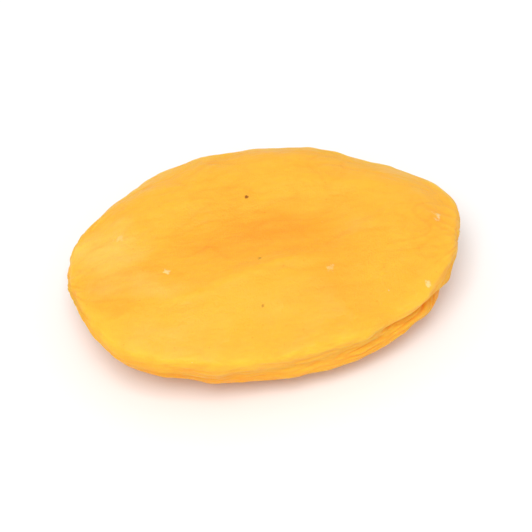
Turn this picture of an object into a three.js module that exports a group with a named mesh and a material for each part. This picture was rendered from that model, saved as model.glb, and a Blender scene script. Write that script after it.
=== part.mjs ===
// A dried apricot, whole and stoned: one soft, flattened fruit lying on its underside.
// Millimetres, +Z up. The long axis lies along X, with the stem end at +X and the tip at -X.
// The origin is the middle of the resting face, below the middle of the fruit's box.
import * as THREE from "three";
import { mergeVertices } from "three/addons/utils/BufferGeometryUtils.js";

// Driving dimensions: the fruit's overall size.
const LENGTH = 42;
const WIDTH = 28;
const THICKNESS = 11.5;

// How round the edge is in section: 2 is an ellipse, and more is a fuller, squarer cushion.
const TOP_FULLNESS = 2.3;
const BASE_FULLNESS = 2.2;
// The share of the thickness above the line where the upper and under sides meet.
const TOP_SHARE = 0.52;
// The tip is thinner than the middle, and the stem end thicker, by this share.
const TAPER = 0.1;
// The fruit is cut off this far above its lowest point, where its own weight has flattened it.
const FOOT_DEPTH = 0.35;

// The flesh colour, and the soft gloss of the dried skin.
const FLESH_COLOUR = new THREE.Color().setRGB(0.99, 0.68, 0.2, THREE.SRGBColorSpace);
const FLESH_ROUGHNESS = 0.48;

// Number of cuts in each edge of the icosahedron that the skin is laid over: it has 20 (n + 1)^2 triangles.
const SKIN_CUTS = 23;
// The icosahedron is drawn out along Z first, so that more of its triangles fall on the two broad faces.
const POLE_STRETCH = 1.2;
// Points of the icosahedron closer than this are one point.
const SAME_POINT = 1e-5;

const radians = THREE.MathUtils.degToRad;
// A soft hump: 1 at the middle, fading out a little beyond the width.
const hump = (distance, width) => Math.exp(-((distance / width) ** 2));
const smoothstep = (from, to, x) => THREE.MathUtils.smoothstep(x, from, to);
// The turn between two angles round the fruit, from minus half a turn to half a turn.
const turn = (angle, from) => Math.atan2(Math.sin(angle - from), Math.cos(angle - from));

// Seen from above the fruit is an ellipse, pushed out or in at these angles by a share of its radius.
const OUTLINE_LOBES = [
  { at: radians(18), reach: 0.09, spread: radians(18) },
  { at: radians(40), reach: -0.029, spread: radians(17) },
  { at: radians(146), reach: -0.055, spread: radians(29) },
  { at: radians(-31), reach: -0.021, spread: radians(21) },
  { at: radians(-73), reach: -0.069, spread: radians(19) },
  { at: radians(-130), reach: 0.091, spread: radians(16) },
];

function outline(angle) {
  return OUTLINE_LOBES.reduce((sum, lobe) => sum + lobe.reach * hump(turn(angle, lobe.at), lobe.spread), 1);
}

// The line where the two sides meet isn't level: the drying fruit has warped, twice and three times round.
const RIM_WARP = [
  { turns: 2, from: radians(25), lift: 0.6 },
  { turns: 3, from: radians(-17), lift: 0.35 },
];

function rimLift(angle) {
  return RIM_WARP.reduce((sum, warp) => sum + warp.lift * Math.cos(warp.turns * (angle - warp.from)), 0);
}

// The hollows over the place of the stone. Places and sizes are shares of the half length and half width.
const TOP_HOLLOWS = [
  { u: -0.06, v: 0.16, alongU: 0.5, alongV: 0.4, depth: 1.8 },
  { u: 0.5, v: 0.1, alongU: 0.26, alongV: 0.36, depth: 0.7 },
  { u: -0.5, v: 0, alongU: 0.22, alongV: 0.3, depth: 0.5 },
];
// The underside's first one is the other way out: the low belly that the fruit lies on.
const BASE_HOLLOWS = [
  { u: 0, v: 0, alongU: 0.34, alongV: 0.34, depth: -0.6 },
  { u: 0.52, v: 0.26, alongU: 0.3, alongV: 0.34, depth: 0.9 },
  { u: -0.56, v: -0.16, alongU: 0.26, alongV: 0.4, depth: 0.9 },
  { u: -0.1, v: -0.62, alongU: 0.3, alongV: 0.2, depth: 0.5 },
];

function hollows(list, u, v) {
  return list.reduce(
    (sum, one) => sum - one.depth * hump(Math.hypot((u - one.u) / one.alongU, (v - one.v) / one.alongV), 1),
    0,
  );
}

// Long soft folds that run from stem to tip: each is a line v = place + slope u + bend u^2,
// raised (or sunk, where the height is below 0) over a width, for a stretch either side of its middle.
const TOP_FOLDS = [
  { middle: -0.08, place: -0.33, slope: 0.34, bend: 0.1, stretch: 0.42, width: 0.055, height: 0.24 },
  { middle: -0.05, place: -0.2, slope: 0.3, bend: 0.1, stretch: 0.36, width: 0.05, height: -0.18 },
  { middle: 0.2, place: -0.4, slope: 0.1, bend: 0.35, stretch: 0.3, width: 0.05, height: -0.16 },
  { middle: -0.4, place: 0.42, slope: -0.1, bend: -0.3, stretch: 0.3, width: 0.06, height: 0.18 },
  { middle: 0.3, place: 0.5, slope: 0.05, bend: -0.4, stretch: 0.35, width: 0.06, height: 0.16 },
  { middle: 0.56, place: -0.5, slope: 0.9, bend: 0, stretch: 0.16, width: 0.08, height: 0.3 },
];
const BASE_FOLDS = [
  { middle: 0.1, place: 0.44, slope: -0.04, bend: -0.22, stretch: 0.75, width: 0.05, height: -0.55 },
  { middle: -0.45, place: -0.45, slope: 0.2, bend: 0.3, stretch: 0.3, width: 0.06, height: -0.25 },
  { middle: 0.4, place: -0.52, slope: -0.1, bend: 0.35, stretch: 0.32, width: 0.06, height: -0.25 },
  { middle: 0.62, place: -0.1, slope: 0.3, bend: 0, stretch: 0.22, width: 0.07, height: -0.25 },
];

function folds(list, u, v) {
  return list.reduce((sum, fold) => {
    const line = fold.place + fold.slope * u + fold.bend * u * u;
    const along = Math.exp(-(((u - fold.middle) / fold.stretch) ** 4));
    return sum + fold.height * along * hump(v - line, fold.width);
  }, 0);
}

// A pinched seam runs round the edge, deepest at the front right and a share as deep at the back left.
// It has a rounded lip above and below it, and its level wanders twice round.
const SEAM = {
  at: radians(-55),
  spread: radians(85),
  least: 0.3,
  level: -0.06,
  width: 0.15,
  depth: 0.35,
  lipHeight: 0.34,
  lipOffset: 0.38,
  lipWidth: 0.21,
  wander: 0.08,
};

function seam(angle, level) {
  const strength = SEAM.least + (1 - SEAM.least) * hump(turn(angle, SEAM.at), SEAM.spread);
  const above = level - SEAM.level - SEAM.wander * Math.cos(2 * (angle - SEAM.at));
  const lips = hump(Math.abs(above) - SEAM.lipOffset, SEAM.lipWidth);
  return strength * (SEAM.lipHeight * lips - SEAM.depth * hump(above, SEAM.width));
}

// The top face ends in a narrow raised rim, sharpest along the front.
const RIM = { at: radians(-80), spread: radians(75), least: 0.35, level: 0.34, width: 0.09, height: 0.26 };

function rim(angle, level) {
  const strength = RIM.least + (1 - RIM.least) * hump(turn(angle, RIM.at), RIM.spread);
  return strength * RIM.height * hump(level - RIM.level, RIM.width);
}

// The stone was pushed out at the stem end. The slit it left has pressed shut to a slanting, wavering crease
// between two thick lips, and it dies away at both ends.
const SLIT = {
  at: radians(-36),
  halfLength: radians(27),
  slant: -0.75,
  wander: 0.05,
  wanders: 11,
  width: 0.13,
  endWidth: 0.11,
  depth: 1.1,
  upperLip: { height: 0.3, offset: 0.2, width: 0.13 },
  lowerLip: { height: 0.32, offset: 0.22, width: 0.15 },
};

function slit(angle, level) {
  const { upperLip, lowerLip } = SLIT;
  const along = turn(angle, SLIT.at);
  const open = Math.max(0, 1 - (along / SLIT.halfLength) ** 2) ** 2;
  const above = level - SLIT.slant * along - SLIT.wander * Math.cos(SLIT.wanders * along);
  const lips =
    upperLip.height * hump(above - upperLip.offset, upperLip.width) +
    lowerLip.height * hump(above + lowerLip.offset, lowerLip.width);
  const width = SLIT.endWidth + (SLIT.width - SLIT.endWidth) * open;
  return open * (lips - SLIT.depth * hump(above, width));
}

// Where the slit's upper end meets the rim, the skin puckers to a small dimple with a short ridge beside it.
const DIMPLE = { at: radians(-53), level: 0.36, spread: radians(5), levelSpread: 0.12, height: -0.5 };
const RIDGE = { at: radians(-62), level: 0.5, spread: radians(3.5), levelSpread: 0.25, height: 0.3 };

function pucker(angle, level) {
  return [DIMPLE, RIDGE].reduce((sum, one) => {
    const far = Math.hypot(turn(angle, one.at) / one.spread, (level - one.level) / one.levelSpread);
    return sum + one.height * hump(far, 1);
  }, 0);
}

// Small pleats cross the edge all the way round, and pull together at the tip.
const PLEATS = [
  { count: 17, shift: 1.3, height: 0.02 },
  { count: 29, shift: 0.4, height: 0.022 },
  { count: 41, shift: 2.2, height: 0.02 },
];
const TIP_PUCKER = { at: radians(176), spread: radians(22), count: 37, height: 0.05 };
const PLEAT_SPREAD = 0.5;

function pleats(angle, level) {
  const round = PLEATS.reduce((sum, one) => sum + one.height * Math.sin(one.count * angle + one.shift), 0);
  const along = turn(angle, TIP_PUCKER.at);
  const tip = TIP_PUCKER.height * hump(along, TIP_PUCKER.spread) * Math.cos(TIP_PUCKER.count * along);
  return (round + tip) * hump(level, PLEAT_SPREAD);
}

// The flesh has dried unevenly, so the whole skin rises and sinks a little: a sum of waves in directions
// spread by the golden angle, first broad ones and then ones under half as long.
const GOLDEN_ANGLE = Math.PI * (3 - Math.sqrt(5));
const WAVES = 9;
const WAVE_SHIFT = 3.64;
const UNEVENNESS = [
  { wavelength: 11, height: 0.22 },
  { wavelength: 4.6, height: 0.055 },
];

function unevenness(point) {
  return UNEVENNESS.reduce((total, { wavelength, height }) => {
    let sum = 0;
    for (let k = 0; k < WAVES; k += 1) {
      const heading = new THREE.Vector3().setFromSphericalCoords(
        1,
        Math.acos(1 - (2 * k + 1) / WAVES),
        GOLDEN_ANGLE * k,
      );
      sum += Math.sin((2 * Math.PI * point.dot(heading)) / wavelength + k * k + WAVE_SHIFT);
    }
    return total + (height * sum) / Math.sqrt(WAVES);
  }, 0);
}

// Level runs from -1 at the underside's middle, through 0 at the edge, to 1 at the top's middle, and reach
// from 0 on the upright axis to 1 at the edge. The forms of the two faces fade in over one stretch of level,
// and the forms of the edge over one stretch of reach.
const FACE_FROM = 0.05;
const FACE_FULL = 0.6;
const EDGE_FROM = 0.45;
const EDGE_FULL = 0.85;

// The height of the skin above the plump fruit, in millimetres along its normal.
function relief(angle, reach, level) {
  const u = reach * Math.cos(angle);
  const v = reach * Math.sin(angle);
  const top = smoothstep(FACE_FROM, FACE_FULL, level);
  const base = smoothstep(FACE_FROM, FACE_FULL, -level);
  const edge = smoothstep(EDGE_FROM, EDGE_FULL, reach);
  const edgeRelief =
    seam(angle, level) + rim(angle, level) + slit(angle, level) + pucker(angle, level) + pleats(angle, level);
  return (
    top * (hollows(TOP_HOLLOWS, u, v) + folds(TOP_FOLDS, u, v)) +
    base * (hollows(BASE_HOLLOWS, u, v) + folds(BASE_FOLDS, u, v)) +
    edge * edgeRelief
  );
}

// Moves one point of the unit sphere out to the fruit's skin.
function skinPoint(direction) {
  const angle = Math.atan2(direction.y, direction.x);
  const across = Math.hypot(direction.x, direction.y);
  const up = direction.z * POLE_STRETCH;
  const fullness = up > 0 ? TOP_FULLNESS : BASE_FULLNESS;
  const size = (across ** fullness + Math.abs(up) ** fullness) ** (1 / fullness);
  const reach = across / size;
  const level = up / size;

  const halfLength = (LENGTH / 2) * outline(angle);
  const halfWidth = (WIDTH / 2) * outline(angle);
  const share = up > 0 ? TOP_SHARE : 1 - TOP_SHARE;
  const halfHeight = THICKNESS * share * (1 + TAPER * reach * Math.cos(angle));
  const plump = new THREE.Vector3(
    halfLength * reach * Math.cos(angle),
    halfWidth * reach * Math.sin(angle),
    halfHeight * level + rimLift(angle) * reach ** 2,
  );
  const normal = new THREE.Vector3(
    (reach ** (fullness - 1) * Math.cos(angle)) / halfLength,
    (reach ** (fullness - 1) * Math.sin(angle)) / halfWidth,
    (Math.sign(level) * Math.abs(level) ** (fullness - 1)) / halfHeight,
  ).normalize();
  return plump.addScaledVector(normal, relief(angle, reach, level) + unevenness(plump));
}

// The skin is one closed sheet: every point of a fine icosahedron is moved out to it.
function fruitGeometry() {
  const sphere = new THREE.IcosahedronGeometry(1, SKIN_CUTS);
  sphere.deleteAttribute("normal");
  sphere.deleteAttribute("uv");
  const skin = mergeVertices(sphere, SAME_POINT);
  const places = skin.getAttribute("position");
  for (let i = 0; i < places.count; i += 1) {
    const point = skinPoint(new THREE.Vector3().fromBufferAttribute(places, i));
    places.setXYZ(i, point.x, point.y, point.z);
  }
  settle(skin);
  skin.computeVertexNormals();
  return skin;
}

// Brings the fruit to its overall size, with the origin under its middle, and flattens what it lies on.
function settle(skin) {
  const box = new THREE.Box3().setFromBufferAttribute(skin.getAttribute("position"));
  box.min.z += FOOT_DEPTH;
  const middle = box.getCenter(new THREE.Vector3());
  const size = box.getSize(new THREE.Vector3());
  skin.translate(-middle.x, -middle.y, -box.min.z);
  skin.scale(LENGTH / size.x, WIDTH / size.y, THICKNESS / size.z);
  const places = skin.getAttribute("position");
  for (let i = 0; i < places.count; i += 1) {
    places.setZ(i, Math.max(places.getZ(i), 0));
  }
}

const flesh = new THREE.MeshStandardMaterial({
  color: FLESH_COLOUR,
  roughness: FLESH_ROUGHNESS,
  metalness: 0,
});

const apricot = new THREE.Mesh(fruitGeometry(), flesh);
apricot.name = "apricot";

const part = new THREE.Group();
part.add(apricot);

export default part;
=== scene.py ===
import math
from types import SimpleNamespace as Form

import bmesh
import bpy
import numpy as np
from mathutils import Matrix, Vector, noise


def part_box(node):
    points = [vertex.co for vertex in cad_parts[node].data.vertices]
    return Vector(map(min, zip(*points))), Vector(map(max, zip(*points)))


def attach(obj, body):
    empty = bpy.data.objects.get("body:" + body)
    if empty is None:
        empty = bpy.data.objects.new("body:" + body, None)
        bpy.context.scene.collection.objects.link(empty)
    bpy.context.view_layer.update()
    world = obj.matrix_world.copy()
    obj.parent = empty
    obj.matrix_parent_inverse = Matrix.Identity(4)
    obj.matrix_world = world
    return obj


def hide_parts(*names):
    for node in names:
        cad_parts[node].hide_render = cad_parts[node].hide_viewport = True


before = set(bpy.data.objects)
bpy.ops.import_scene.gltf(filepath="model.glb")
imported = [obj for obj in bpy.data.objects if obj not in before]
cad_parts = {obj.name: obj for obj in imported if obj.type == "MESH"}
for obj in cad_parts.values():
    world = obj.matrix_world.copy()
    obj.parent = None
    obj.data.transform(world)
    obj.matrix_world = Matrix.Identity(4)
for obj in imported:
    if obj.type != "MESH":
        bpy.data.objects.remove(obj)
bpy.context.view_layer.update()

# The apricot: one ripe fruit dried whole, after its stone was pushed out at the stem end, which lies at +X.
# Skin and flesh are one soft, leathery, slightly clear body, which grew round and sank flat as it dried.
# Lengths here are in millimetres, until the skin gets its final size.
MILLIMETRES = 1000
BOX_LOW, BOX_HIGH = (np.array(corner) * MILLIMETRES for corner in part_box("apricot"))
LENGTH, WIDTH, THICKNESS = BOX_HIGH - BOX_LOW
# How round the edge is in section: 2 is an ellipse, and more is a fuller, squarer cushion.
TOP_FULLNESS = 2.3
BASE_FULLNESS = 2.2
# The share of the thickness above the line where the upper and under sides meet.
TOP_SHARE = 0.52
# The tip is thinner than the middle, and the stem end thicker, by this share.
TAPER = 0.1
# The fruit is cut off this far above its lowest point, where its own weight has flattened it.
FOOT_DEPTH = 0.35


def hump(distance, width):
    """1 at the middle, fading out a little beyond the width."""
    return np.exp(-((distance / width) ** 2))


def smoothstep(start, end, x):
    """0 up to the start, 1 from the end, and a soft step between."""
    share = np.clip((x - start) / (end - start), 0, 1)
    return share * share * (3 - 2 * share)


def turn(angle, start):
    """The turn between two angles round the fruit, from minus half a turn to half a turn."""
    return np.arctan2(np.sin(angle - start), np.cos(angle - start))


# Seen from above the fruit is an ellipse, pushed out or in at these angles, in degrees, by a share of its
# radius and over a spread.
OUTLINE_LOBES = [
    (18, 0.09, 18),
    (40, -0.029, 17),
    (146, -0.055, 29),
    (-31, -0.021, 21),
    (-73, -0.069, 19),
    (-130, 0.091, 16),
]


def outline(angle):
    """The share of an ellipse's radius at each angle, seen from above."""
    return 1 + sum(
        share * hump(turn(angle, math.radians(at)), math.radians(spread))
        for at, share, spread in OUTLINE_LOBES
    )


# The line between top and underside has warped as the fruit dried, in two waves: the turns of each, the
# angle where it is highest, and its lift.
RIM_WARP = [(2, 25, 0.6), (3, -17, 0.35)]


def rim_lift(angle):
    """How far the line between top and underside is above level."""
    return sum(lift * np.cos(turns * (angle - math.radians(start))) for turns, start, lift in RIM_WARP)


# The hollows over the place of the stone: their place and size as shares of the half length and half width,
# and their depth. The underside's first one is the other way out: the low belly that the fruit lies on.
TOP_HOLLOWS = [
    (-0.06, 0.16, 0.5, 0.4, 1.8),
    (0.5, 0.1, 0.26, 0.36, 0.7),
    (-0.5, 0, 0.22, 0.3, 0.5),
]
BASE_HOLLOWS = [
    (0, 0, 0.34, 0.34, -0.6),
    (0.52, 0.26, 0.3, 0.34, 0.9),
    (-0.56, -0.16, 0.26, 0.4, 0.9),
    (-0.1, -0.62, 0.3, 0.2, 0.5),
]


def patches(places, u, v):
    """Soft oval patches, each with its place, its size and how much it adds at its middle."""
    return sum(
        amount * hump(np.hypot((u - at_u) / along_u, (v - at_v) / along_v), 1)
        for at_u, at_v, along_u, along_v, amount in places
    )


# The long soft folds from stem to tip, each along v = place + slope u + bend u^2: the middle of its
# stretch, place, slope, bend, the stretch either side, its width, and its height, below 0 where it is sunk.
TOP_FOLDS = [
    (-0.08, -0.33, 0.34, 0.1, 0.42, 0.055, 0.24),
    (-0.05, -0.2, 0.3, 0.1, 0.36, 0.05, -0.18),
    (0.2, -0.4, 0.1, 0.35, 0.3, 0.05, -0.16),
    (-0.4, 0.42, -0.1, -0.3, 0.3, 0.06, 0.18),
    (0.3, 0.5, 0.05, -0.4, 0.35, 0.06, 0.16),
    (0.56, -0.5, 0.9, 0, 0.16, 0.08, 0.3),
]
BASE_FOLDS = [
    (0.1, 0.44, -0.04, -0.22, 0.75, 0.05, -0.55),
    (-0.45, -0.45, 0.2, 0.3, 0.3, 0.06, -0.25),
    (0.4, -0.52, -0.1, 0.35, 0.32, 0.06, -0.25),
    (0.62, -0.1, 0.3, 0, 0.22, 0.07, -0.25),
]


def folds(lines, u, v):
    """The height of the long folds at u and v."""
    total = 0
    for middle, place, slope, bend, stretch, width, height in lines:
        line = place + slope * u + bend * u * u
        total = total + height * np.exp(-(((u - middle) / stretch) ** 4)) * hump(v - line, width)
    return total


# The pinched seam runs round the edge, deepest at the front right and a share as deep at the back left. It
# has a rounded lip above and below it, and its level wanders twice round.
SEAM = Form(
    at=math.radians(-55),
    spread=math.radians(85),
    least=0.3,
    level=-0.06,
    width=0.15,
    depth=0.35,
    lip_height=0.34,
    lip_offset=0.38,
    lip_width=0.21,
    wander=0.08,
)


def seam(angle, level):
    """The height of the seam and its lips."""
    strength = SEAM.least + (1 - SEAM.least) * hump(turn(angle, SEAM.at), SEAM.spread)
    above = level - SEAM.level - SEAM.wander * np.cos(2 * (angle - SEAM.at))
    lips = hump(np.abs(above) - SEAM.lip_offset, SEAM.lip_width)
    return strength * (SEAM.lip_height * lips - SEAM.depth * hump(above, SEAM.width))


# The top face ends in a narrow raised rim, sharpest along the front.
RIM = Form(at=math.radians(-80), spread=math.radians(75), least=0.35, level=0.34, width=0.09, height=0.26)


def rim(angle, level):
    """How near each point is to the rim, times the rim's strength there."""
    strength = RIM.least + (1 - RIM.least) * hump(turn(angle, RIM.at), RIM.spread)
    return strength * hump(level - RIM.level, RIM.width)


# The slit that the stone left has pressed shut to a slanting, wavering crease between two thick lips, and
# it dies away at both ends.
SLIT = Form(
    at=math.radians(-36),
    half_length=math.radians(27),
    slant=-0.75,
    wander=0.05,
    wanders=11,
    width=0.09,
    end_width=0.06,
    depth=1.1,
    upper_lip=Form(height=0.3, offset=0.2, width=0.13),
    lower_lip=Form(height=0.32, offset=0.22, width=0.15),
)


def slit(angle, level):
    """The height of the slit and its lips, and how near each point is to its line."""
    upper, lower = SLIT.upper_lip, SLIT.lower_lip
    along = turn(angle, SLIT.at)
    near = np.maximum(0, 1 - (along / SLIT.half_length) ** 2) ** 2
    above = level - SLIT.slant * along - SLIT.wander * np.cos(SLIT.wanders * along)
    crease = hump(above, SLIT.end_width + (SLIT.width - SLIT.end_width) * near)
    lips = upper.height * hump(above - upper.offset, upper.width)
    lips += lower.height * hump(above + lower.offset, lower.width)
    return near * (lips - SLIT.depth * crease), near * crease


# Where the slit's upper end meets the rim, the skin puckers to a small dimple and a short ridge beside it.
DIMPLE = Form(at=math.radians(-53), level=0.36, spread=math.radians(5), level_spread=0.12, height=-0.5)
RIDGE = Form(at=math.radians(-62), level=0.5, spread=math.radians(3.5), level_spread=0.25, height=0.3)


def nearness(form, angle, level):
    """How near each point is to a small form on the edge."""
    return hump(np.hypot(turn(angle, form.at) / form.spread, (level - form.level) / form.level_spread), 1)


# Small pleats cross the edge: how many go round, where they start, and their height. They pull together at
# the tip.
PLEATS = [(17, 1.3, 0.02), (29, 0.4, 0.022), (41, 2.2, 0.02)]
PLEAT_SPREAD = 0.5
TIP_PUCKER = Form(at=math.radians(176), spread=math.radians(22), count=37, height=0.05)


def pleats(angle, level):
    """The height of the small pleats across the edge, and of the pucker at the tip."""
    round_edge = sum(height * np.sin(count * angle + shift) for count, shift, height in PLEATS)
    along = turn(angle, TIP_PUCKER.at)
    at_tip = TIP_PUCKER.height * hump(along, TIP_PUCKER.spread) * np.cos(TIP_PUCKER.count * along)
    return (round_edge + at_tip) * hump(level, PLEAT_SPREAD)


# The flesh has dried unevenly, so the whole skin rises and sinks a little: the wavelength and height of its
# waves.
UNEVENNESS = [(11, 0.22), (4.6, 0.055)]
WAVES = 9
WAVE_SHIFT = 3.64
GOLDEN_ANGLE = math.pi * (3 - math.sqrt(5))


def unevenness(places):
    """The slow rise and fall of the skin: waves in directions spread by the golden angle."""
    total = 0
    for wavelength, height in UNEVENNESS:
        for k in range(WAVES):
            tilt = math.acos(1 - (2 * k + 1) / WAVES)
            heading = np.array(
                [
                    math.sin(tilt) * math.sin(GOLDEN_ANGLE * k),
                    math.cos(tilt),
                    math.sin(tilt) * math.cos(GOLDEN_ANGLE * k),
                ]
            )
            wave = np.sin(2 * math.pi * (places @ heading) / wavelength + k * k + WAVE_SHIFT)
            total = total + height * wave / math.sqrt(WAVES)
    return total


# The skin starts as a cube cut into a fine net, which is pushed out to a ball with squares of about one
# size. The ball is drawn out along Z, so that more of its squares fall on the two broad faces.
SKIN_CUTS = 127
POLE_STRETCH = 1.2
net = bmesh.new()
bmesh.ops.create_cube(net, size=2)
bmesh.ops.subdivide_edges(net, edges=net.edges[:], cuts=SKIN_CUTS, use_grid_fill=True)
skin = bpy.data.meshes.new("apricot_skin")
net.to_mesh(skin)
net.free()
count = len(skin.vertices)
ball = np.zeros(count * 3)
skin.vertices.foreach_get("co", ball)
ball = np.tan(ball.reshape(-1, 3) * math.pi / 4)
ball /= np.linalg.norm(ball, axis=1, keepdims=True)

# Each point of the ball goes to its place on the plump fruit. Reach runs from 0 on the upright axis to 1 at
# the edge, and level from -1 at the underside's middle to 1 at the top's.
angle = np.arctan2(ball[:, 1], ball[:, 0])
across = np.hypot(ball[:, 0], ball[:, 1])
up = ball[:, 2] * POLE_STRETCH
fullness = np.where(up > 0, TOP_FULLNESS, BASE_FULLNESS)
size = (across**fullness + np.abs(up) ** fullness) ** (1 / fullness)
reach = across / size
level = up / size
u = reach * np.cos(angle)
v = reach * np.sin(angle)
half_length = LENGTH / 2 * outline(angle)
half_width = WIDTH / 2 * outline(angle)
half_height = THICKNESS * np.where(up > 0, TOP_SHARE, 1 - TOP_SHARE) * (1 + TAPER * u)
height = half_height * level + rim_lift(angle) * reach**2
plump = np.stack([half_length * u, half_width * v, height], axis=1)
outward = np.stack(
    [
        reach ** (fullness - 1) * np.cos(angle) / half_length,
        reach ** (fullness - 1) * np.sin(angle) / half_width,
        np.sign(level) * np.abs(level) ** (fullness - 1) / half_height,
    ],
    axis=1,
)
outward /= np.linalg.norm(outward, axis=1, keepdims=True)

# Then it sinks into the hollows and rises over the folds, lips and pleats, along the plump fruit's normal.
# The forms of the two faces fade in over one stretch of level, and those of the edge over one stretch of
# reach.
FACE_FROM, FACE_FULL = 0.05, 0.6
EDGE_FROM, EDGE_FULL = 0.45, 0.85
top = smoothstep(FACE_FROM, FACE_FULL, level)
base = smoothstep(FACE_FROM, FACE_FULL, -level)
edge = smoothstep(EDGE_FROM, EDGE_FULL, reach)
rim_nearness = rim(angle, level)
slit_height, slit_nearness = slit(angle, level)
dimple_nearness = nearness(DIMPLE, angle, level)
edge_relief = seam(angle, level) + RIM.height * rim_nearness + slit_height + pleats(angle, level)
edge_relief += DIMPLE.height * dimple_nearness + RIDGE.height * nearness(RIDGE, angle, level)
relief = (
    top * (folds(TOP_FOLDS, u, v) - patches(TOP_HOLLOWS, u, v))
    + base * (folds(BASE_FOLDS, u, v) - patches(BASE_HOLLOWS, u, v))
    + edge * edge_relief
    + unevenness(plump)
)
form = plump + outward * relief[:, None]

# It is brought to its overall size, and its own weight flattens what it lies on.
low, high = form.min(axis=0), form.max(axis=0)
low[2] += FOOT_DEPTH
form = BOX_LOW + (form - low) * (BOX_HIGH - BOX_LOW) / (high - low)
form[:, 2] = np.maximum(form[:, 2], BOX_LOW[2])
skin.vertices.foreach_set("co", form.ravel())
skin.update()
normals = np.zeros(count * 3)
skin.vertex_normals.foreach_get("vector", normals)
normals = normals.reshape(-1, 3)


def clouds(places):
    """Smooth noise from about -1 to 1, one wave to a unit."""
    return np.array([noise.noise(place) for place in places.tolist()])


def cell_edges(places, width):
    """How near each place is to the border between two cells of about a unit: 1 on the border, 0 inside."""
    nearest = [noise.voronoi(place)[0] for place in places.tolist()]
    gap = np.array([distances[1] - distances[0] for distances in nearest])
    return 1 - smoothstep(0, width, gap)


# Fine wrinkles run like the fruit's meridians, from stem to tip, and lie close together at both ends and at
# the edge. Each size of them has a length, a width and a share, and is a broad furrow with a sharp line at
# its bottom. All of them drift to and fro a little.
GIRTH = 10
LEAST_GIRTH = 0.02
GATHER = 0.7
DRIFT_SIZE = 5
DRIFT = 1.1
WRINKLES = [(9, 2.3, 0.45), (5, 1.3, 0.35), (3, 0.8, 0.2)]
FURROW_SLOPE = 0.5
LINE_WIDTH = 0.2
squeeze = np.maximum(np.hypot(v, level), LEAST_GIRTH) ** -GATHER
meridian = np.stack([LENGTH / 2 * u, GIRTH * v * squeeze, GIRTH * level * squeeze], axis=1)
drift = np.stack([clouds(form / DRIFT_SIZE + seed) for seed in (0, 17, 43)], axis=1)
meridian += DRIFT * drift
furrows = np.zeros(count)
lines = np.zeros(count)
for (length, width, share), seed in zip(WRINKLES, (3, 29, 71)):
    wave = np.abs(clouds(meridian / np.array([length, width, width]) + seed))
    furrows += share * (1 - np.minimum(wave / FURROW_SLOPE, 1))
    lines += share * (1 - np.minimum(wave * width / LINE_WIDTH, 1))

# Cracks as of a fine leather cross the wrinkles, and small lumps lie between them.
CRACK_CELL = np.array([1.7, 1.1, 1.1])
CRACK_DRIFT = 0.25
CRACK_WIDTH = 0.22
LUMP_SIZE = 2.1
SMALL_LUMP_SIZE = 1.0
cracks = cell_edges((form + CRACK_DRIFT * drift) / CRACK_CELL, CRACK_WIDTH)
lumps = 0.5 + 0.6 * clouds(form / LUMP_SIZE + 61) + 0.3 * clouds(form / SMALL_LUMP_SIZE + 7)

# The wrinkles are deepest at both ends and below the edge, in patches. The top face is smoother, most of
# all at its front, and the lumps show most at the edge.
PATCH_SIZE = 7
STEM_SPREAD = math.radians(50)
tip = hump(np.hypot((u + 1) / 0.3, v / 0.6), 1)
stem = hump(turn(angle, SLIT.at), STEM_SPREAD) * smoothstep(0.6, 0.95, reach)
rough_patch = smoothstep(-0.3, 0.5, clouds(form / PATCH_SIZE + 90))
smooth_top = smoothstep(0.1, 0.45, level) * (0.4 + 0.5 * hump(v + 0.62, 0.33))
roughened = (1 - smooth_top) * (0.6 + 0.4 * rough_patch + 0.4 * tip + 0.45 * stem)
lumpy = (0.35 + 0.65 * smoothstep(0.8, 0.97, reach)) * (1 - 0.4 * smoothstep(-0.2, 0.3, level))

# All this is cut into the skin, which is first swollen by about as much as is cut away.
SWELL = 0.11
FURROW_DEPTH = 0.15
LINE_DEPTH = 0.12
CRACK_DEPTH = 0.035
LUMP_DEPTH = 0.2
depth = (FURROW_DEPTH * furrows + LINE_DEPTH * lines + CRACK_DEPTH * cracks * rough_patch) * roughened
depth += LUMP_DEPTH * np.clip(1 - lumps, 0, 1) * lumpy
final = form + normals * (SWELL - depth[:, None])
final[:, 2] = np.maximum(final[:, 2], BOX_LOW[2])
skin.vertices.foreach_set("co", (final / MILLIMETRES).ravel())


def remember(name, values):
    """Keeps one number for each point of the skin, for the material to read."""
    skin.attributes.new(name, "FLOAT", "POINT").data.foreach_set("value", values.astype(np.float32))


# What the colours follow: the creases, the slit and its dimple, which get painted shade, the orange patches
# of the top face, with painted shade in its hollow, the painted sheen near the tip, the painted shade of the
# underside, and the painted light of the pale rim and the front lip below it, standing for light that comes
# through the thin flesh.
# The top face's orange patches; the first is painted shade in the hollow.
FLUSH_AND_SHADE_PATCHES = [(0.0, 0.05, 0.46, 0.3, 0.7), (0.34, -0.5, 0.2, 0.35, 0.45), (-0.72, -0.35, 0.22, 0.25, 0.4)]
# Painted sheen: a pale patch near the tip.
SHEEN_PATCHES = [(-0.76, -0.05, 0.26, 0.4, 1)]
# Painted light: the rim is painted yellower, most at the back edge and on the lumps' peaks, and so is a
# patch of the front lip below the slit.
LIP_PAINTED_LIGHT = Form(at=math.radians(-62), level=-0.15, spread=math.radians(30), level_spread=0.4, strength=0.7)
rim_painted_light = 0.3 * smoothstep(0.85, 1, reach) * smoothstep(-0.05, 0.4, level) * (1 + 2 * smoothstep(0, 0.6, v))
rim_painted_light = (rim_painted_light + 0.8 * rim_nearness) * (0.4 + 1.2 * lumps)
rim_painted_light += LIP_PAINTED_LIGHT.strength * nearness(LIP_PAINTED_LIGHT, angle, level) * edge
# Painted shade: the wrinkles and cracks get a deeper orange.
remember("crease", np.clip((0.35 * furrows + 1.1 * lines + 0.25 * cracks) * roughened, 0, 1))
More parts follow.
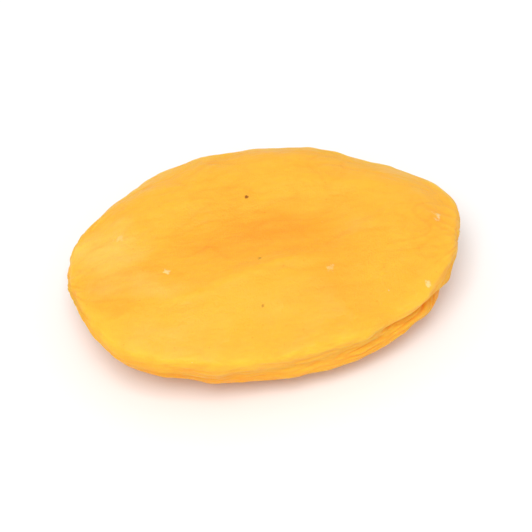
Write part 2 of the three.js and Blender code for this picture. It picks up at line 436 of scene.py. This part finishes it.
# Painted shade: the slit and its dimple get a deeper orange.
remember("slit", np.clip(slit_nearness + 0.6 * dimple_nearness, 0, 1))
# Painted shade in the hollow, with the other orange patches.
remember("hollow_shade_and_flush", patches(FLUSH_AND_SHADE_PATCHES, u, v) * top)
# Painted light along the rim and the front lip.
remember("rim", np.clip(rim_painted_light, 0, 1))
# Painted sheen near the tip.
remember("sugar_bloom_and_sheen", patches(SHEEN_PATCHES, u, v) * top)
# Painted shade: more orange towards the underside.
remember("underside_shade", smoothstep(0.25, -0.6, level))
skin.polygons.foreach_set("use_smooth", np.ones(len(skin.polygons), bool))
skin.update()


class Value:
    """A number or colour that varies over a surface. Sums on a number add Math nodes to its finish."""

    def __init__(self, finish, socket):
        self.finish = finish
        self.socket = socket

    def sum(self, operation, first, second):
        return self.finish.add("ShaderNodeMath", {"operation": operation}, {0: first, 1: second})

    def __add__(self, other):
        return self.sum("ADD", self, other)

    __radd__ = __add__

    def __sub__(self, other):
        return self.sum("SUBTRACT", self, other)

    def __rsub__(self, other):
        return self.sum("SUBTRACT", other, self)

    def __mul__(self, other):
        return self.sum("MULTIPLY", self, other)

    __rmul__ = __mul__


class Finish:
    """One material, and the nodes it is made of. Its lengths are in metres."""

    def __init__(self, name):
        self.material = bpy.data.materials.new(name)
        self.material.use_nodes = True
        self.tree = self.material.node_tree
        self.tree.nodes.clear()

    def add(self, kind, settings, inputs, output=0):
        """Adds a node, with its settings first and then the values or links of its sockets."""
        node = self.tree.nodes.new(kind)
        for name, setting in settings.items():
            setattr(node, name, setting)
        for name, value in inputs.items():
            if isinstance(value, Value):
                self.tree.links.new(value.socket, node.inputs[name])
            else:
                node.inputs[name].default_value = value
        return Value(self, node.outputs[output]) if node.outputs else None

    def surface(self, shader):
        """Makes a shader the finish of the material."""
        self.add("ShaderNodeOutputMaterial", {}, {"Surface": shader})

    def place(self):
        """Where a point of the piece is."""
        return self.add("ShaderNodeTexCoord", {}, {}, "Object")

    def attribute(self, name):
        """A number that the mesh keeps for each of its points."""
        return self.add("ShaderNodeAttribute", {"attribute_name": name}, {}, "Fac")

    def noise(self, size, detail, stretch=(1, 1, 1), shift=0.0):
        """Clouds from 0 to 1 of one size, drawn out along the axes by the stretch."""
        moves = {"Location": (shift, shift, shift), "Scale": tuple(1 / (size * axis) for axis in stretch)}
        scaled = self.add("ShaderNodeMapping", {}, {"Vector": self.place(), **moves})
        return self.add("ShaderNodeTexNoise", {}, {"Vector": scaled, "Scale": 1.0, "Detail": detail}, "Fac")

    def step(self, value, start, end):
        """0 up to the start, 1 from the end, and a soft step between."""
        return self.add(
            "ShaderNodeMapRange",
            {"interpolation_type": "SMOOTHSTEP"},
            {"Value": value, "From Min": start, "From Max": end},
        )

    def dots(self, spacing, radius, share):
        """Round dots of a radius, in a random share of cells of the spacing."""
        cells = {"Vector": self.place(), "Scale": 1 / spacing}
        distance = self.add("ShaderNodeTexVoronoi", {}, cells, "Distance")
        chance = self.add("ShaderNodeTexVoronoi", {}, cells, "Color")
        red = self.add("ShaderNodeSeparateColor", {}, {"Color": chance}, "Red")
        chosen = self.step(red, share, share - 0.01)
        return self.step(distance, radius / spacing, 0.4 * radius / spacing) * chosen

    def spot(self, place, radius, raggedness):
        """One soft spot at a place. Its border is ragged by a share of its radius."""
        distance = self.add(
            "ShaderNodeVectorMath", {"operation": "DISTANCE"}, {0: self.place(), 1: place}, "Value"
        )
        ragged = distance + radius * raggedness * (self.noise(0.9 * radius, 2.0) - 0.5)
        return self.step(ragged, radius, 0.3 * radius)

    def mix(self, factor, first, second):
        """The first colour, turning to the second as the factor goes from 0 to 1."""
        settings = {"data_type": "RGBA", "clamp_factor": True}
        factor_socket, first_socket, second_socket, result = 0, 6, 7, 2
        sockets = {factor_socket: factor, first_socket: first, second_socket: second}
        return self.add("ShaderNodeMix", settings, sockets, result)


def colour(*screen):
    """A colour as a screen shows it, from 0 to 255, turned to linear light."""
    shares = [part / 255 for part in screen]
    return tuple(((s + 0.055) / 1.055) ** 2.4 if s > 0.04045 else s / 12.92 for s in shares) + (1.0,)


def on_skin(x, y, side):
    """The place of the skin at x and y, in metres, on the top or the underside and clear of the edge."""
    clear_level = 0.3
    miss = np.hypot(final[:, 0] - x, final[:, 1] - y) + LENGTH * (level * side < clear_level)
    return tuple(final[miss.argmin()] / MILLIMETRES)


# The flesh is golden, with clouds and fine streaks of orange. Painted shade makes it more orange in the
# hollow and on the underside, and deeper orange in the creases and the slit. It has small deeper orange
# dots, painted light makes it more yellow at the rim, and it is pale where the bloom of its sugar has dried
# on it, with a painted sheen near the tip.
GOLD = colour(250, 184, 56)
ORANGE = colour(248, 157, 41)
DEEP_ORANGE = colour(240, 124, 28)
RIM_LIGHT_YELLOW = colour(253, 202, 63)
PALE = colour(253, 216, 124)
dried = Finish("dried_apricot_flesh")
mottle = dried.noise(size=0.011, detail=2.0)
streaks = dried.noise(size=0.0009, detail=3.0, stretch=(7, 1, 1.4), shift=3.0)
# Random orange clouds and streaks, and painted shade in the hollow.
flush_and_hollow_shade = dried.step(0.35 * mottle + 0.45 * streaks + 0.6 * dried.attribute("hollow_shade_and_flush"), 0.3, 1.1)
sugar = dried.noise(size=0.007, detail=4.0, stretch=(2, 1, 1), shift=11.0)
# Pale patches of dried sugar, which also dull the gloss, and the painted sheen near the tip.
sugar_bloom_and_sheen = dried.step(sugar + 0.2 * dried.attribute("sugar_bloom_and_sheen"), 0.58, 0.84)
tone = dried.mix(flush_and_hollow_shade, GOLD, ORANGE)
# Painted shade on the underside.
tone = dried.mix(dried.attribute("underside_shade") * 0.6, tone, ORANGE)
# Painted light: yellower at the rim and the front lip.
tone = dried.mix(dried.attribute("rim") * 0.58, tone, RIM_LIGHT_YELLOW)
# Painted shade in the creases.
tone = dried.mix(dried.attribute("crease") * 0.36, tone, DEEP_ORANGE)
# Painted shade in the slit and its dimple.
tone = dried.mix(dried.attribute("slit") * 0.2, tone, DEEP_ORANGE)
# Pale sugar bloom and painted sheen.
tone = dried.mix(sugar_bloom_and_sheen * 0.35, tone, PALE)

# On it are a few brown specks, small deeper orange dots, and painted glints: pale grains painted as
# highlights, which also make the skin glossier and raise it a little. The specks and the larger glints have
# their x and y in millimetres, their side (1 is the top and -1 the underside) and how strong they are.
SPECK = colour(150, 84, 14)
SPECKS = [
    (-1.2, 5.6, 1, 1),
    (-1.1, -3.3, 1, 0.6),
    (-1.6, -8.7, 1, 0.5),
    (10.2, 11.5, 1, 0.7),
    (-6.8, 12.8, 1, 0.6),
    (6.6, -6.8, -1, 0.7),
    (-10.2, 4.1, -1, 0.6),
]
GLINT_HIGHLIGHT = colour(255, 240, 196)
PAINTED_GLINTS = [
    (-15.1, 2.6, 1, 0.25),
    (-10.7, -3.0, 1, 0.6),
    (6.0, -5.3, 1, 0.35),
    (18.2, 0.7, 1, 0.7),
    (15.9, -7.0, 1, 0.6),
]
for x, y, side, strength in SPECKS:
    tone = dried.mix(dried.spot(on_skin(x, y, side), radius=0.00027, raggedness=1.8) * strength, tone, SPECK)
# Small deeper orange dots.
orange_dots = dried.dots(spacing=0.0011, radius=0.00013, share=0.55)
tone = dried.mix(orange_dots * 0.3, tone, DEEP_ORANGE)
grains_and_painted_glints = dried.dots(spacing=0.0019, radius=0.0001, share=0.3)
for x, y, side, strength in PAINTED_GLINTS:
    grains_and_painted_glints = grains_and_painted_glints + dried.spot(on_skin(x, y, side), radius=0.00045, raggedness=3.5) * strength
# Painted highlights: the glints are mixed in near white.
tone = dried.mix(grains_and_painted_glints * 0.7, tone, GLINT_HIGHLIGHT)

# The skin has fine pores and a grain along the fruit, and a soft gloss that comes and goes. The flesh below
# it lets light in for a millimetre or two, the red furthest.
pores = dried.noise(size=0.00022, detail=3.0)
grain = dried.noise(size=0.0006, detail=2.0, stretch=(2, 1, 1), shift=7.0)
dullness = dried.step(dried.noise(size=0.004, detail=3.0, shift=5.0), 0.35, 0.7)
bump = dried.add(
    "ShaderNodeBump",
    {},
    {"Strength": 0.8, "Distance": 0.00008, "Height": pores + 1.2 * grain + 0.8 * grains_and_painted_glints},
    "Normal",
)
flesh = dried.add(
    "ShaderNodeBsdfPrincipled",
    {},
    {
        "Base Color": tone,
        "Roughness": 0.4 + 0.22 * dullness + 0.12 * sugar_bloom_and_sheen - 0.2 * grains_and_painted_glints,
        "Normal": bump,
        "IOR": 1.4,
        "Specular IOR Level": 0.3,
        "Subsurface Weight": 0.6,
        "Subsurface Radius": (1.0, 0.4, 0.1),
        "Subsurface Scale": 0.0015,
    },
    "BSDF",
)
dried.surface(flesh)

apricot = bpy.data.objects.new("dried_apricot", skin)
bpy.context.scene.collection.objects.link(apricot)
skin.materials.append(dried.material)
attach(apricot, "root")
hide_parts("apricot")

# The table: a plain, pale, matt sheet that the fruit lies on, much larger than the view. From here on
# lengths are in metres.
TABLE_HALF_WIDTH = 2
floor_net = bmesh.new()
bmesh.ops.create_grid(floor_net, x_segments=1, y_segments=1, size=TABLE_HALF_WIDTH)
floor_mesh = bpy.data.meshes.new("table")
floor_net.to_mesh(floor_mesh)
floor_net.free()
table = bpy.data.objects.new("table", floor_mesh)
bpy.context.scene.collection.objects.link(table)
matt = Finish("matt_white")
paper = {"Base Color": (0.9, 0.9, 0.9, 1.0), "Roughness": 0.9}
matt.surface(matt.add("ShaderNodeBsdfPrincipled", {}, paper, "BSDF"))
floor_mesh.materials.append(matt.material)

# The light: a pale room all round, and one broad square lamp nearly overhead, a little to the front and the
# left, which faces the fruit.
ROOM_LIGHT = 0.66
LAMP_PLACE = Vector((-0.08, -0.19, 0.52))
LAMP_WIDTH = 0.3
LAMP_WATTS = 2.0
room = bpy.data.worlds.new("room")
bpy.context.scene.world = room
room.use_nodes = True
room.node_tree.nodes["Background"].inputs["Color"].default_value = (1.0, 1.0, 1.0, 1.0)
room.node_tree.nodes["Background"].inputs["Strength"].default_value = ROOM_LIGHT
light = bpy.data.lights.new("key_lamp", "AREA")
light.size = LAMP_WIDTH
light.energy = LAMP_WATTS
lamp = bpy.data.objects.new("key_lamp", light)
bpy.context.scene.collection.objects.link(lamp)
lamp.location = LAMP_PLACE
lamp.rotation_mode = "QUATERNION"
lamp.rotation_quaternion = (-LAMP_PLACE).to_track_quat("-Z", "Y")

# The camera looks down on the fruit from the front, a little to the left, from far enough to flatten it.
CAMERA_AZIMUTH = math.radians(-8)
CAMERA_ELEVATION = math.radians(54)
CAMERA_DISTANCE = 0.28
CAMERA_AIM = Vector((0, 0, 0.005))
LENS_LENGTH = 180
back = Vector(
    (
        math.sin(CAMERA_AZIMUTH) * math.cos(CAMERA_ELEVATION),
        -math.cos(CAMERA_AZIMUTH) * math.cos(CAMERA_ELEVATION),
        math.sin(CAMERA_ELEVATION),
    )
)
lens = bpy.data.cameras.new("camera")
lens.lens = LENS_LENGTH
camera = bpy.data.objects.new("camera", lens)
bpy.context.scene.collection.objects.link(camera)
camera.location = CAMERA_AIM + back * CAMERA_DISTANCE
camera.rotation_mode = "QUATERNION"
camera.rotation_quaternion = (-back).to_track_quat("-Z", "Y")
bpy.context.scene.camera = camera
bpy.context.scene.view_settings.view_transform = "Standard"
